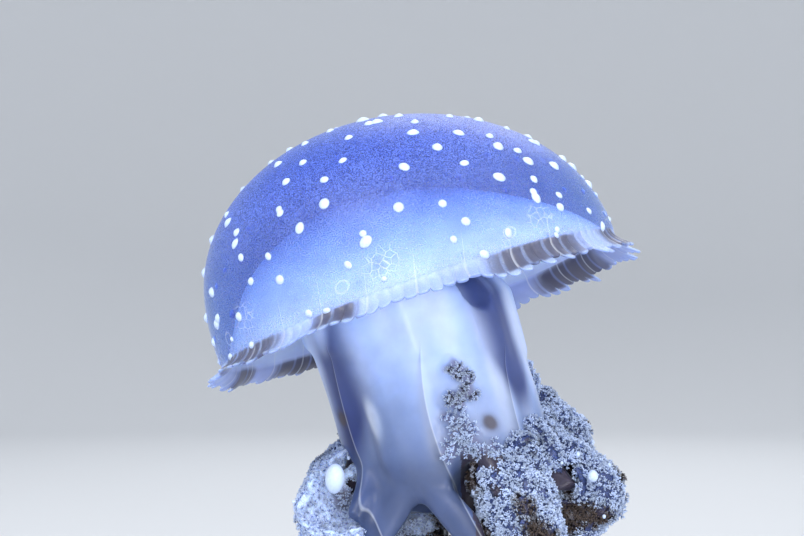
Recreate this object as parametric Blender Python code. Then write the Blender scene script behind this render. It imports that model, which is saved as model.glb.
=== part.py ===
"""White-spotted jellyfish (Phyllorhiza punctata), life size, swimming, on a plain display stand.

Metres, +Z up. The origin is the centre of the stand's underside, the front is -Y.
The bell is drawn in its own frame, whose origin is the centre of its widest ring and whose Z axis
runs to the apex. The arms are drawn in stalk space, straight round a vertical axis, and then swayed.
"""

import math
import random
from collections import namedtuple

import bmesh
import bpy
from mathutils import Matrix, Vector

MM = 0.001

# Bell
BELL_CENTRE = Vector((-17, 0, 193)) * MM
BELL_ROLL = math.radians(6)  # the apex leans left
BELL_PITCH = math.radians(7)  # and back, which lifts the near rim
BELL_RADIUS = 104 * MM
DOME_HEIGHT = 82 * MM
RIM_ANGLE = math.radians(-7.5)  # where the wall ends and the lappets flare, below the widest ring
RIM_SLANT = math.radians(17)  # the wall ends that much higher on the right and lower on the left
WALL_CURL = 0.75  # how fast the wall draws in below the widest ring
APEX_THICKNESS = 37 * MM
RIM_THICKNESS = 4 * MM
LAPPET_THICKNESS = 1.0 * MM
THINNING = 2.5
FLARE = 12 * MM
FLARE_SLANT = 2.7 * MM
FLARE_REACH = 0.9
FLARE_EASE = 0.1  # how much less steeply the tips hang than the flare's root
BELL_COLUMNS = 32
OUTER_RINGS = (0.14, 0.28, 0.42, 0.55, 0.67, 0.78, 0.88, 0.95, 1.0, 1.2)
INNER_RINGS = (1.15, 0.96, 0.82, 0.64, 0.42, 0.2)

# Lappets, in octants between the eight sense organs. S is 1 where the flare starts and 2 at a tip.
OCTANTS = 8
LAPPETS_PER_OCTANT = 14
LAPPET_ROOT = 1.4
LAPPET_NOTCH = 1.72
COLUMNS_PER_LAPPET = 3
GAP = 0.3 * MM
MOST_GROWTH = 2.5  # how much further than a flat face a sharp corner grows

# Stalk: the arm disc under the bell, and the axis that the arms hang round
STALK_TOP = Vector((-19.5, -2.5, 172.5)) * MM
STALK_LEAN = Vector((0.36, -0.10))  # slope of the axis to the right and to the front at its top
STALK_HANG = 90 * MM  # the depth over which the lean fades as the arms hang
DISC_RADIUS = 55 * MM
DISC_TOP_RADIUS = 62 * MM
DISC_TOP = 48 * MM
DISC_BOTTOM = -14 * MM
DISC_LOBING = 0.03
DISC_COLUMNS = 20
DISC_LEVELS = 5
PIT_COUNT = 4
PIT_AZIMUTH = math.radians(-45)
PIT_SIZE = Vector((13, 11, 13)) * MM
PIT_HEIGHT = 19 * MM

# Oral arms. Depths are below the top of the stalk, reach is from its axis.
Arm = namedtuple("Arm", "azimuth fork frill_top frill_bottom reach")
ARMS = (
    Arm(-115, 75, 104, 152, 60),
    Arm(-52, 50, 54, 132, 80),
    Arm(-14, 48, 48, 108, 89),
    Arm(26, 42, 24, 98, 86),
    Arm(68, 60, 60, 140, 68),
    Arm(112, 66, 70, 148, 64),
    Arm(156, 56, 54, 120, 84),
    Arm(200, 62, 60, 130, 86),
)
ARM_AXIS_RADIUS = 41 * MM
ARM_GAP = 0.5 * MM
STEM_TOP = -DISC_BOTTOM + GAP
STEM_THICKNESS = 13 * MM  # half sizes out from the stalk
FORK_THICKNESS = 9 * MM
STEM_TAPER_START = 0.65  # the share of the way down a stem where it starts to thin
LEG_SIZES = ((8, 6), (8.5, 7), (7, 6), (5, 4.5))  # half sizes down a leg, in millimetres
LEG_REACH = 0.45  # how far out a leg bends, as a share of the way to the frill's reach
LEG_STEPS = (-0.3, 0.1, 0.55, 1.0)  # where a leg's rings lie, as shares of its drop below the fork
LEG_ROOT_SPREAD = 4 * MM
LEG_SPREAD = 19 * MM
LEG_DROP = 32 * MM
ARM_SIDES = 8

# Frills: heaped mouth folds that fill the room round each stem and swell out on the lower arm
FRILL_INNER_TOP = 16 * MM
FRILL_INNER_RADIUS = 24 * MM
FRILL_WEB_RADIUS = 46 * MM  # how far out a frill reaches between the stems
FRILL_HOLLOW = 13 * MM
FRILL_STEP = 16 * MM
FRILL_LEVELS = 6
FRILL_COLUMNS = 6
FRILL_LUMP = 3 * MM
FRILL_LEAST_LUMP = 0.3  # the share of the lumps that is left where a frill is narrow
FRILL_SIDES_DRAWN_IN = 0.35
FRILL_SWELL = (0.1, 0.72, 0.6)  # start and span on a half wave, and its power, from top to bottom
LUMP_SEED = 11
CLUB_RISE = 0.5  # how far a club stands out, as a share of its half width

# Clubs: the white stinging club that sits on each frill, as azimuth off its arm, depth and half sizes
Club = namedtuple("Club", "turn depth width height")
CLUBS = (
    Club(-10, 118, 3.2, 4.5),
    Club(8, 104, 3.0, 4.2),
    Club(-14, 73.5, 2.8, 3.0),
    Club(4, 52, 2.6, 3.4),
    Club(8, 100, 3.4, 4.6),
    Club(-6, 108, 3.2, 4.4),
    Club(-9, 84, 3.6, 5.0),
    Club(15, 74.5, 5.0, 7.2),
)

# Display stand
BASE_RADIUS = 75 * MM
BASE_HEIGHT = 10 * MM
BASE_EDGE = 1.5 * MM
ROD_RADIUS = 3 * MM
COLLAR_RADIUS = 7 * MM
COLLAR_HEIGHT = 6 * MM
ROD_SIDES = 16
SHARP_ANGLE = math.radians(35)
BASE_SIDES = 40

JELLY_BLUE = (0.10, 0.19, 0.66)
PALE_BLUE = (0.42, 0.56, 0.95)
FRILL_COLOUR = (0.48, 0.55, 0.80)
CLUB_WHITE = (0.80, 0.88, 1.00)
STEEL_GREY = (0.62, 0.63, 0.65)
BASE_GREY = (0.06, 0.065, 0.075)


def clear_scene():
    for old in list(bpy.data.objects):
        bpy.data.objects.remove(old)


def material(name, colour, roughness, metallic=0.0):
    made = bpy.data.materials.new(name)
    made.use_nodes = True
    shader = made.node_tree.nodes["Principled BSDF"]
    shader.inputs["Base Color"].default_value = (*colour, 1)
    shader.inputs["Roughness"].default_value = roughness
    shader.inputs["Metallic"].default_value = metallic
    return made


def object_from(name, vertices, faces, finish=None):
    mesh = bpy.data.meshes.new(name)
    mesh.from_pydata([tuple(v) for v in vertices], [], faces)
    mesh.validate()
    made = bpy.data.objects.new(name, mesh)
    bpy.context.collection.objects.link(made)
    bm = bmesh.new()
    bm.from_mesh(mesh)
    bmesh.ops.triangulate(bm, faces=bm.faces)
    bmesh.ops.recalc_face_normals(bm, faces=bm.faces)
    bm.to_mesh(mesh)
    bm.free()
    mesh.shade_smooth()
    if finish:
        mesh.materials.append(finish)
    return made


def settle(obj):
    """Applies the modifiers of obj to its mesh."""
    bpy.context.view_layer.update()
    graph = bpy.context.evaluated_depsgraph_get()
    mesh = bpy.data.meshes.new_from_object(obj.evaluated_get(graph))
    obj.modifiers.clear()
    obj.data = mesh
    return obj


def move_points(obj, rule):
    for vertex in obj.data.vertices:
        vertex.co = rule(vertex.co)
    obj.data.update()


def boolean(obj, other, operation):
    modifier = obj.modifiers.new(operation, "BOOLEAN")
    modifier.operation = operation
    modifier.object = other
    return settle(obj)


def swollen(obj, by):
    """A helper copy of obj, grown by that much all round, for cutting a gap round it."""
    bm = bmesh.new()
    bm.from_mesh(obj.data)
    bm.normal_update()
    grown = [v.co + v.normal * by * min(v.calc_shell_factor(), MOST_GROWTH) for v in bm.verts]
    faces = [tuple(v.index for v in f.verts) for f in bm.faces]
    bm.free()
    return object_from(obj.name + "_cutter", grown, faces)


def discard(obj):
    bpy.data.objects.remove(obj)


def closed_rings(rings, pole_start=None, pole_end=None):
    """Vertices and faces of a tube through rings of equal length, ended by poles or flat faces."""
    count = len(rings[0])
    vertices = [point for ring in rings for point in ring]
    faces = []
    for row in range(len(rings) - 1):
        for column in range(count):
            after = (column + 1) % count
            faces.append((row * count + column, row * count + after,
                          (row + 1) * count + after, (row + 1) * count + column))
    for pole, row in ((pole_start, 0), (pole_end, len(rings) - 1)):
        ring = [row * count + column for column in range(count)]
        if pole is None:
            faces.append(tuple(ring))
            continue
        vertices.append(pole)
        centre = len(vertices) - 1
        faces += [(ring[c], ring[(c + 1) % count], centre) for c in range(count)]
    return vertices, faces


# ---- Bell ----

def profile(azimuth, s):
    """Radius and height of the bell's outer surface. S is 0 at the apex, 1 at the flare, 2 at a tip."""
    rim = RIM_ANGLE + RIM_SLANT * math.cos(azimuth)
    angle = math.pi / 2 + (rim - math.pi / 2) * min(s, 1.0)
    curl = angle if angle > 0 else angle * WALL_CURL
    radius = BELL_RADIUS * math.cos(curl)
    height = DOME_HEIGHT * math.sin(angle)
    if s > 1:
        flare = FLARE + FLARE_SLANT * math.cos(azimuth)
        t = s - 1
        radius += flare * FLARE_REACH * t * t
        height -= flare * (t - FLARE_EASE * t * t)
    return radius, height


def thickness(s):
    if s <= 1:
        return RIM_THICKNESS + (APEX_THICKNESS - RIM_THICKNESS) * (1 - s ** THINNING)
    return RIM_THICKNESS + (LAPPET_THICKNESS - RIM_THICKNESS) * (s - 1)


def bell_point(azimuth, s, depth=0.0):
    """A point of the bell's frame: on the outer surface at depth 0, on the inner one at depth 1."""
    step = 0.01
    before, after = profile(azimuth, max(s - step, 0)), profile(azimuth, s + step)
    along = Vector((after[0] - before[0], after[1] - before[1])).normalized()
    inward = Vector((along.y, -along.x))
    radius, height = profile(azimuth, s)
    radius += inward.x * thickness(s) * depth
    height += inward.y * thickness(s) * depth
    return Vector((radius * math.cos(azimuth), radius * math.sin(azimuth), height))


def bell_frame():
    return (Matrix.Translation(BELL_CENTRE) @ Matrix.Rotation(-BELL_PITCH, 4, "X")
            @ Matrix.Rotation(-BELL_ROLL, 4, "Y"))


def make_bell(finish):
    turns = [math.tau * c / BELL_COLUMNS for c in range(BELL_COLUMNS)]
    rings = [[bell_point(a, s) for a in turns] for s in (*OUTER_RINGS, LAPPET_ROOT)]
    rings += [[bell_point(a, s, 1.0) for a in turns] for s in (LAPPET_ROOT, *INNER_RINGS)]
    apex = Vector((0, 0, DOME_HEIGHT))
    vertices, faces = closed_rings(rings, apex, apex - Vector((0, 0, APEX_THICKNESS)))
    bell = object_from("bell", vertices, faces, finish)
    move_points(bell, lambda p: bell_frame() @ p)
    return bell


def make_lappets(octant, finish):
    """One octant of the margin: a strip of rounded lappets that hang off the bell's lower edge."""
    width = math.tau / OCTANTS
    gap_angle = GAP / BELL_RADIUS
    start, end = octant * width + gap_angle, (octant + 1) * width - gap_angle
    columns = LAPPETS_PER_OCTANT * COLUMNS_PER_LAPPET
    root = LAPPET_ROOT + GAP / FLARE
    sections = []
    for column in range(columns + 1):
        azimuth = start + (end - start) * column / columns
        across = (column % COLUMNS_PER_LAPPET) / COLUMNS_PER_LAPPET
        tip = LAPPET_NOTCH if across == 0 else 2.0
        sections.append([bell_point(azimuth, root), bell_point(azimuth, tip),
                         bell_point(azimuth, tip, 1.0), bell_point(azimuth, root, 1.0)])
    vertices, faces = closed_rings(sections)
    lappets = object_from(f"lappets_{octant + 1}", vertices, faces, finish)
    move_points(lappets, lambda p: bell_frame() @ p)
    return lappets


# ---- Stalk and arms ----

def swayed(p):
    """A point of stalk space in the world: the axis leans at its top and hangs straight lower down."""
    hang = STALK_HANG * math.tanh(-p.z / STALK_HANG)
    return STALK_TOP + Vector((p.x + STALK_LEAN.x * hang, p.y + STALK_LEAN.y * hang, p.z))


def around(azimuth, radius, depth, aside=0.0):
    """A point of stalk space at a radius from the axis, a depth below its top and a step aside."""
    out = Vector((math.cos(azimuth), math.sin(azimuth), 0))
    side = Vector((-math.sin(azimuth), math.cos(azimuth), 0))
    return out * radius + side * aside - Vector((0, 0, depth))


def make_disc(bell, finish):
    """The arm disc: a lobed column under the bell with four pits, cut to meet the bell's inside."""
    rings = []
    for level in range(DISC_LEVELS):
        rise = level / (DISC_LEVELS - 1)
        height = DISC_BOTTOM + (DISC_TOP - DISC_BOTTOM) * rise
        radius = DISC_RADIUS + (DISC_TOP_RADIUS - DISC_RADIUS) * rise ** 2
        ring = []
        for column in range(DISC_COLUMNS):
            azimuth = math.tau * column / DISC_COLUMNS
            lobes = math.cos(len(ARMS) * azimuth)
            ring.append(around(azimuth, radius * (1 + DISC_LOBING * lobes), -height))
        rings.append(ring)
    disc = object_from("arm_disc", *closed_rings(rings), finish)
    for pit in range(PIT_COUNT):
        azimuth = PIT_AZIMUTH + math.tau * pit / PIT_COUNT
        cutter = ellipsoid("pit", around(azimuth, DISC_RADIUS, -PIT_HEIGHT), PIT_SIZE, azimuth)
        boolean(disc, cutter, "DIFFERENCE")
        discard(cutter)
    move_points(disc, swayed)
    cutter = swollen(bell, GAP)
    boolean(disc, cutter, "DIFFERENCE")
    discard(cutter)
    return disc


def ellipsoid(name, centre, half_sizes, turn=0.0, detail=2, finish=None):
    bm = bmesh.new()
    bmesh.ops.create_icosphere(bm, subdivisions=detail, radius=1.0)
    shape = Matrix.Translation(centre) @ Matrix.Rotation(turn, 4, "Z") @ Matrix.Diagonal((*half_sizes, 1))
    bmesh.ops.transform(bm, matrix=shape, verts=bm.verts)
    vertices = [v.co.copy() for v in bm.verts]
    faces = [tuple(v.index for v in f.verts) for f in bm.faces]
    bm.free()
    return object_from(name, vertices, faces, finish)


def sector(arm):
    """The middle azimuth and half angle of an arm's share of the circle."""
    place = ARMS.index(arm)
    turns = [ARMS[place - 1].azimuth, arm.azimuth, ARMS[(place + 1) % len(ARMS)].azimuth]
    to_last, to_next = [(b - a) % 360 / 2 for a, b in zip(turns, turns[1:])]
    return math.radians(arm.azimuth + (to_next - to_last) / 2), math.radians((to_last + to_next) / 2)


def room_aside(arm, side, radius, half_size):
    """How far to that side of its azimuth a limb can lie and stay in its arm's share of the circle."""
    middle, half = sector(arm)
    angle = half + side * (middle - math.radians(arm.azimuth))
    return (radius * math.sin(angle) - half_size - ARM_GAP / 2) / math.cos(angle)


def limb(path, sizes, azimuth, grown):
    """An oval tube along path. Sizes are half widths round the stalk and out from it."""
    side = Vector((-math.sin(azimuth), math.cos(azimuth), 0))
    path = path[:-1] + [path[-1] + (path[-1] - path[-2]).normalized() * grown]
    rings = []
    for i, (place, (wide, thick)) in enumerate(zip(path, sizes)):
        along = (path[min(i + 1, len(path) - 1)] - path[max(i - 1, 0)]).normalized()
        across = (side - along * side.dot(along)).normalized()
        out = along.cross(across)
        rings.append([swayed(place + across * (wide + grown) * math.cos(math.tau * k / ARM_SIDES)
                             + out * (thick + grown) * math.sin(math.tau * k / ARM_SIDES))
                      for k in range(ARM_SIDES)])
    return object_from("limb", *closed_rings(rings))


def stem(arm, grown):
    azimuth, fork = math.radians(arm.azimuth), arm.fork * MM
    wide = min(room_aside(arm, side, ARM_AXIS_RADIUS, 0) for side in (-1, 1))
    width = math.sqrt(wide ** 2 - (STEM_THICKNESS * math.tan(sector(arm)[1])) ** 2) - ARM_GAP
    depths = (STEM_TOP - grown, STEM_TOP + (fork - STEM_TOP) * STEM_TAPER_START, fork)
    path = [around(azimuth, ARM_AXIS_RADIUS, depth) for depth in depths]
    sizes = ((width, STEM_THICKNESS), (width, STEM_THICKNESS), (width, FORK_THICKNESS))
    return limb(path, sizes, azimuth, grown)


def leg(arm, side, grown):
    azimuth, path = math.radians(arm.azimuth), []
    sizes = [(wide * MM, thick * MM) for wide, thick in LEG_SIZES]
    for t, (wide, _) in zip(LEG_STEPS, sizes):
        down = max(t, 0)
        radius = ARM_AXIS_RADIUS + (arm.reach * MM - ARM_AXIS_RADIUS) * LEG_REACH * down ** 1.5
        spread = LEG_ROOT_SPREAD + (LEG_SPREAD - LEG_ROOT_SPREAD) * down
        aside = min(spread, room_aside(arm, side, radius, wide))
        path.append(around(azimuth, radius, arm.fork * MM + LEG_DROP * t, side * aside))
    return limb(path, sizes, azimuth, grown)


def arm_shape(arm, grown=0.0):
    """The stem and legs of an arm as one body, each grown by that much all round."""
    body = stem(arm, grown)
    for side in (-1, 1):
        other = leg(arm, side, grown)
        boolean(body, other, "UNION")
        discard(other)
    return body


def make_arm(number, arm, finish):
    body = arm_shape(arm)
    body.name = f"oral_arm_{number}"
    body.data.materials.append(finish)


def frill_reach(arm, depth):
    """How far a frill reaches from the axis at a depth, in line with its arm."""
    down = (depth - arm.frill_top * MM) / ((arm.frill_bottom - arm.frill_top) * MM)
    if down < 0:
        return FRILL_WEB_RADIUS
    start, span, power = FRILL_SWELL
    swell = math.sin(math.pi * (start + span * down)) ** power
    return FRILL_INNER_RADIUS + (arm.reach * MM - FRILL_INNER_RADIUS) * swell


def drawn_in(across):
    """The share of its reach that a frill keeps, from its middle at 0 to its sides at -1 and 1."""
    return 1 - FRILL_SIDES_DRAWN_IN * abs(across) ** 3


def make_club(number, arm, club, finish):
    """A club half sunk in the face of its frill."""
    (middle, half), azimuth = sector(arm), math.radians(arm.azimuth + club.turn)
    across = ((azimuth - middle + math.pi) % math.tau - math.pi) / half
    reach = frill_reach(arm, club.depth * MM) * drawn_in(across) + CLUB_RISE * club.width * MM
    half_sizes = Vector((club.width, club.width, club.height)) * MM
    centre = swayed(around(azimuth, reach, club.depth * MM))
    return ellipsoid(f"arm_club_{number}", centre, half_sizes, finish=finish)


def frill_ring(arm, depth, draw):
    """One level of a frill: a lumpy arc out at its reach, closed along the hollow round the axis."""
    middle, half = sector(arm)
    apex = around(middle, ARM_GAP / 2 / math.sin(half), depth)
    ring = []
    for column in range(FRILL_COLUMNS + 1):
        across = 2 * column / FRILL_COLUMNS - 1
        radius = max(frill_reach(arm, depth) * drawn_in(across), FRILL_WEB_RADIUS)
        swollen_by = (radius - FRILL_WEB_RADIUS) / FRILL_LUMP
        radius += draw.uniform(-1, 1) * FRILL_LUMP * min(1, swollen_by / 2 + FRILL_LEAST_LUMP)
        ring.append(apex + around(middle + across * half, radius, 0))
    ring += [apex + around(middle + across * half, FRILL_HOLLOW, 0) for across in (1, 0, -1)]
    return [swayed(point) for point in ring]


def make_frill(number, arm, draw, cutters, finish):
    top, bottom = arm.frill_top * MM, arm.frill_bottom * MM
    inner_levels = math.ceil((top - FRILL_INNER_TOP) / FRILL_STEP)
    depths = [FRILL_INNER_TOP + (top - FRILL_INNER_TOP) * k / inner_levels for k in range(inner_levels)]
    depths += [top + (bottom - top) * k / (FRILL_LEVELS - 1) for k in range(FRILL_LEVELS)]
    rings = [frill_ring(arm, depth, draw) for depth in depths]
    body = object_from(f"arm_frill_{number}", *closed_rings(rings), finish)
    for cutter in cutters:
        boolean(body, cutter, "DIFFERENCE")
        discard(cutter)
    return largest_body(body)


def largest_body(obj):
    """Leaves only the largest of the separate bodies in obj."""
    bm = bmesh.new()
    bm.from_mesh(obj.data)
    left, bodies = set(bm.verts), []
    while left:
        todo, body = [left.pop()], []
        while todo:
            vertex = todo.pop()
            body.append(vertex)
            near = {edge.other_vert(vertex) for edge in vertex.link_edges} & left
            left -= near
            todo += near
        bodies.append(body)
    bodies.sort(key=len)
    bmesh.ops.delete(bm, geom=[v for body in bodies[:-1] for v in body], context="VERTS")
    bm.to_mesh(obj.data)
    bm.free()
    return obj


# ---- Stand ----

def turned(name, outline, sides, finish):
    """A solid of revolution about Z from (radius, height) pairs, bottom to top."""
    rings = [[Vector((r * math.cos(math.tau * k / sides), r * math.sin(math.tau * k / sides), z))
              for k in range(sides)] for r, z in outline]
    made = object_from(name, *closed_rings(rings), finish)
    made.data.set_sharp_from_angle(angle=SHARP_ANGLE)
    return made


def make_base(finish):
    outline = [(BASE_RADIUS - BASE_EDGE, 0), (BASE_RADIUS, BASE_EDGE), (BASE_RADIUS, BASE_HEIGHT - BASE_EDGE),
               (BASE_RADIUS - BASE_EDGE, BASE_HEIGHT)]
    return turned("stand_base", outline, BASE_SIDES, finish)


def make_rod(finish):
    """The rod with the collar at its foot. It ends under the arm disc."""
    bottom = BASE_HEIGHT + GAP
    top = STALK_TOP.z + DISC_BOTTOM - GAP
    outline = [(COLLAR_RADIUS, bottom), (COLLAR_RADIUS, bottom + COLLAR_HEIGHT - BASE_EDGE),
               (COLLAR_RADIUS - BASE_EDGE, bottom + COLLAR_HEIGHT), (ROD_RADIUS, bottom + COLLAR_HEIGHT),
               (ROD_RADIUS, top)]
    return turned("stand_rod", outline, ROD_SIDES, finish)


def main():
    clear_scene()
    jelly = material("jelly", JELLY_BLUE, 0.3)
    pale = material("pale_jelly", PALE_BLUE, 0.35)
    frilled = material("frill", FRILL_COLOUR, 0.6)
    white = material("club", CLUB_WHITE, 0.4)
    steel = material("steel", STEEL_GREY, 0.3, 1.0)
    painted = material("base", BASE_GREY, 0.45)

    bell = make_bell(jelly)
    for octant in range(OCTANTS):
        make_lappets(octant, pale)
    make_disc(bell, pale)
    make_base(painted)
    rod = make_rod(steel)
    draw = random.Random(LUMP_SEED)
    for number, (arm, club) in enumerate(zip(ARMS, CLUBS), 1):
        make_arm(number, arm, pale)
        club_body = make_club(number, arm, club, white)
        cutters = arm_shape(arm, ARM_GAP), swollen(club_body, GAP), swollen(rod, GAP)
        make_frill(number, arm, draw, cutters, frilled)


main()
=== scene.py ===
"""The looks of the white-spotted jellyfish: one skin with its markings, the coat of frill digits, white
spots and clubs, the stand's finish and a plain pale studio. Metres, in the frame of the CAD."""

from math import cos, pi, radians, sin, sqrt, tau

import bmesh
import bpy
import numpy as np
from mathutils import Matrix, Vector, kdtree
from mathutils.bvhtree import BVHTree


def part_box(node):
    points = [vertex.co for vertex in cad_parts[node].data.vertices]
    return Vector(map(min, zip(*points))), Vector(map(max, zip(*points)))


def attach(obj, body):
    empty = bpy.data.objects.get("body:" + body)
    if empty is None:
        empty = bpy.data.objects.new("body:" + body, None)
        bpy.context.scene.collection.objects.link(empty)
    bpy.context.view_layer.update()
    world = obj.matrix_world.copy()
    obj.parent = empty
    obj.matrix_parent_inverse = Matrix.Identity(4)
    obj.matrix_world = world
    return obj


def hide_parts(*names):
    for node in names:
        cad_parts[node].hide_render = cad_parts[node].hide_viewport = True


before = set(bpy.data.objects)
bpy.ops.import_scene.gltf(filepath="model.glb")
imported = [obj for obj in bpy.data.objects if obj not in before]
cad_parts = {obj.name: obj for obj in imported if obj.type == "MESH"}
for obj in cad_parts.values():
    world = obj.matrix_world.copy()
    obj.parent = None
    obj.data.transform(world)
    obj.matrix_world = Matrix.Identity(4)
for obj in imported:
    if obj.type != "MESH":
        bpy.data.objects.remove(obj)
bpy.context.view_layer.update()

MM = 0.001

# Bell, as in the CAD: S is 0 at the apex, 1 where the wall ends and the margin flares, 2 at a tip
BELL_CENTRE = Vector((-17, 0, 193)) * MM
BELL_ROLL = radians(6)
BELL_PITCH = radians(7)
BELL_RADIUS = 104 * MM
DOME_HEIGHT = 82 * MM
RIM_ANGLE = radians(-7.5)
RIM_SLANT = radians(17)
WALL_CURL = 0.75
APEX_THICKNESS = 37 * MM
RIM_THICKNESS = 4 * MM
LAPPET_THICKNESS = 1.0 * MM
THINNING = 2.5
FLARE = 12 * MM
FLARE_SLANT = 2.7 * MM
FLARE_REACH = 0.9
LAPPETS = 112
LAPPET_ROOT = 1.4
LAPPET_NOTCH = 1.62

# Stalk, as in the CAD: the axis that the arms hang round
STALK_TOP = Vector((-19.5, -2.5, 172.5)) * MM
STALK_LEAN = Vector((0.36, -0.10))
STALK_HANG = 90 * MM
ARM_AZIMUTHS = (-115, -52, -14, 26, 68, 112, 156, 200)
ARMS = range(len(ARM_AZIMUTHS))
COARSENESS = (1, 1, 1, 1, 0.9, 1, 0.9, 0.62)  # how large each arm's tufts are
CLEFTS = [(a + (b - a) % 360 / 2) for a, b in zip(ARM_AZIMUTHS, ARM_AZIMUTHS[1:] + ARM_AZIMUTHS[:1])]
FRILL_TOPS = (104, 54, 48, 24, 60, 70, 54, 60)  # depths where each arm's frill swells out, in millimetres


# ---- Meshes ----

def linked(name, data):
    """A new object of the scene with this mesh, lamp or camera."""
    made = bpy.data.objects.new(name, data)
    bpy.context.scene.collection.objects.link(made)
    return made


def built(name, bm):
    """A new object with the shape of a bmesh, which is freed."""
    mesh = bpy.data.meshes.new(name)
    bm.to_mesh(mesh)
    bm.free()
    return linked(name, mesh)


def mesh_object(name, points, faces):
    """An object from an array of points and a list of arrays of faces, each of triangles or quads."""
    mesh = bpy.data.meshes.new(name)
    corners = np.concatenate([part.ravel() for part in faces]).astype(np.int32)
    sizes = np.concatenate([np.full(len(part), part.shape[1]) for part in faces])
    mesh.vertices.add(len(points))
    mesh.vertices.foreach_set("co", points.astype(np.float32).ravel())
    mesh.loops.add(len(corners))
    mesh.loops.foreach_set("vertex_index", corners)
    mesh.polygons.add(len(sizes))
    mesh.polygons.foreach_set("loop_start", (np.cumsum(sizes) - sizes).astype(np.int32))
    mesh.update(calc_edges=True)
    mesh.validate()
    mesh.shade_smooth()
    return linked(name, mesh)


def vectors_of(obj, field):
    found = np.empty(len(obj.data.vertices) * 3, np.float32)
    obj.data.vertices.foreach_get(field, found)
    return found.reshape(-1, 3).astype(float)


def points_of(obj):
    return vectors_of(obj, "co")


def normals_of(obj):
    return vectors_of(obj, "normal")


def set_points(obj, points):
    obj.data.vertices.foreach_set("co", points.astype(np.float32).ravel())
    obj.data.update()


def store(obj, name, values):
    """Writes one number for each vertex, for the materials to read."""
    attribute = obj.data.attributes.new(name, "FLOAT", "POINT")
    attribute.data.foreach_set("value", np.asarray(values, np.float32))


def ramp(low, high, x):
    """0 up to low, 1 from high on, with a smooth rise between."""
    t = np.clip((x - low) / (high - low), 0, 1)
    return t * t * (3 - 2 * t)


def around(turn, middle, step):
    """How far each turn is from the nearest of the places that lie a step apart from a middle one."""
    return (turn - middle + step / 2) % step - step / 2


def band(x, edges):
    """1 between the middle two of four edges, fading to 0 at the outer two."""
    return ramp(edges[0], edges[1], x) * (1 - ramp(edges[2], edges[3], x))


# ---- Bell ----

def profile(azimuth, s):
    """Radius and height of the bell's outer surface in its own frame."""
    rim = RIM_ANGLE + RIM_SLANT * np.cos(azimuth)
    angle = np.pi / 2 + (rim - np.pi / 2) * np.minimum(s, 1)
    curl = np.where(angle > 0, angle, angle * WALL_CURL)
    flare = FLARE + FLARE_SLANT * np.cos(azimuth)
    t = np.maximum(s - 1, 0)
    radius = BELL_RADIUS * np.cos(curl) + flare * FLARE_REACH * t * t
    height = DOME_HEIGHT * np.sin(angle) - flare * (t - 0.1 * t * t)
    return radius, height


def thickness(s):
    wall = RIM_THICKNESS + (APEX_THICKNESS - RIM_THICKNESS) * (1 - np.minimum(s, 1) ** THINNING)
    margin = RIM_THICKNESS + (LAPPET_THICKNESS - RIM_THICKNESS) * (s - 1)
    return np.where(s <= 1, wall, margin)


def bell_points(azimuth, s, depth, inwards=0.0):
    """Points in the world, from the outer surface at depth 0 to the inner one at 1, moved inwards."""
    step = 0.01
    low, high = profile(azimuth, np.maximum(s - step, 0)), profile(azimuth, s + step)
    along_r, along_h = high[0] - low[0], high[1] - low[1]
    length = np.hypot(along_r, along_h)
    shift = thickness(s) * depth + inwards
    radius, height = profile(azimuth, s)
    radius = radius + along_h / length * shift
    height = height - along_r / length * shift
    local = np.stack([radius * np.cos(azimuth), radius * np.sin(azimuth), height], axis=-1)
    turn = np.array(bell_frame())
    return local @ turn[:3, :3].T + turn[:3, 3]


def bell_frame():
    return (Matrix.Translation(BELL_CENTRE) @ Matrix.Rotation(-BELL_PITCH, 4, "X")
            @ Matrix.Rotation(-BELL_ROLL, 4, "Y"))


MARGIN_WAVES = ((5, 0.9, 0.4), (11, 0.8, 2.1), (19, 0.55, 5.0), (31, 0.35, 1.2))  # cycles, mm, phase
GROOVE_DEPTH = 0.75 * MM
GROOVE_WIDTH = 0.10  # of a lappet
FLUTE_DEPTH = 0.35 * MM
LAPPET_LENGTHS = (0.70, 1.0)
LOBE_SQUARE = 2.4  # the larger, the squarer a lappet is across
LOBE_BLUNT = 0.55  # the smaller, the blunter its tip


def lappet_place(azimuth):
    """Which lappet an azimuth falls on, and how far across it, from 0 to 1."""
    place = azimuth / tau * LAPPETS
    number = np.floor(place + 1e-9)
    return number.astype(int) % LAPPETS, place - number


def margin_sink(azimuth, s):
    """How far the flutes above the margin and the grooves between lappets draw the outer surface in."""
    _, across = lappet_place(azimuth)
    groove = np.exp(-(np.minimum(across, 1 - across) / GROOVE_WIDTH) ** 2)
    flute = 0.5 + 0.5 * np.cos(tau * across)
    return GROOVE_DEPTH * groove * ramp(0.98, 1.3, s) + FLUTE_DEPTH * flute * ramp(0.8, 1.0, s)


def margin_wave(azimuth, s):
    """How far the whole margin waves in and out."""
    wave = sum(size * MM * np.sin(cycles * azimuth + phase) for cycles, size, phase in MARGIN_WAVES)
    return wave * ramp(0.85, 2.0, s)


def bell_rows():
    """The bell's rows (S, columns, depth), down the outside, round the tip and up the inside."""
    bands = ((0.02, 0.06, 0.02, 28), (0.06, 0.14, 0.02, 56), (0.14, 0.30, 0.02, 112),
             (0.30, 0.70, 0.015, 224), (0.70, 1.00, 0.01, 448), (1.00, 1.999, 0.04, 896))
    outer = [(s, columns, 0.0) for low, high, step, columns in bands for s in np.arange(low, high, step)]
    inner = [(s, columns, 1.0) for s, columns, _ in reversed(outer)]
    return outer + [(2.0, 896, 0.0), (2.02, 896, 0.5), (2.0, 896, 1.0)] + inner


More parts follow.
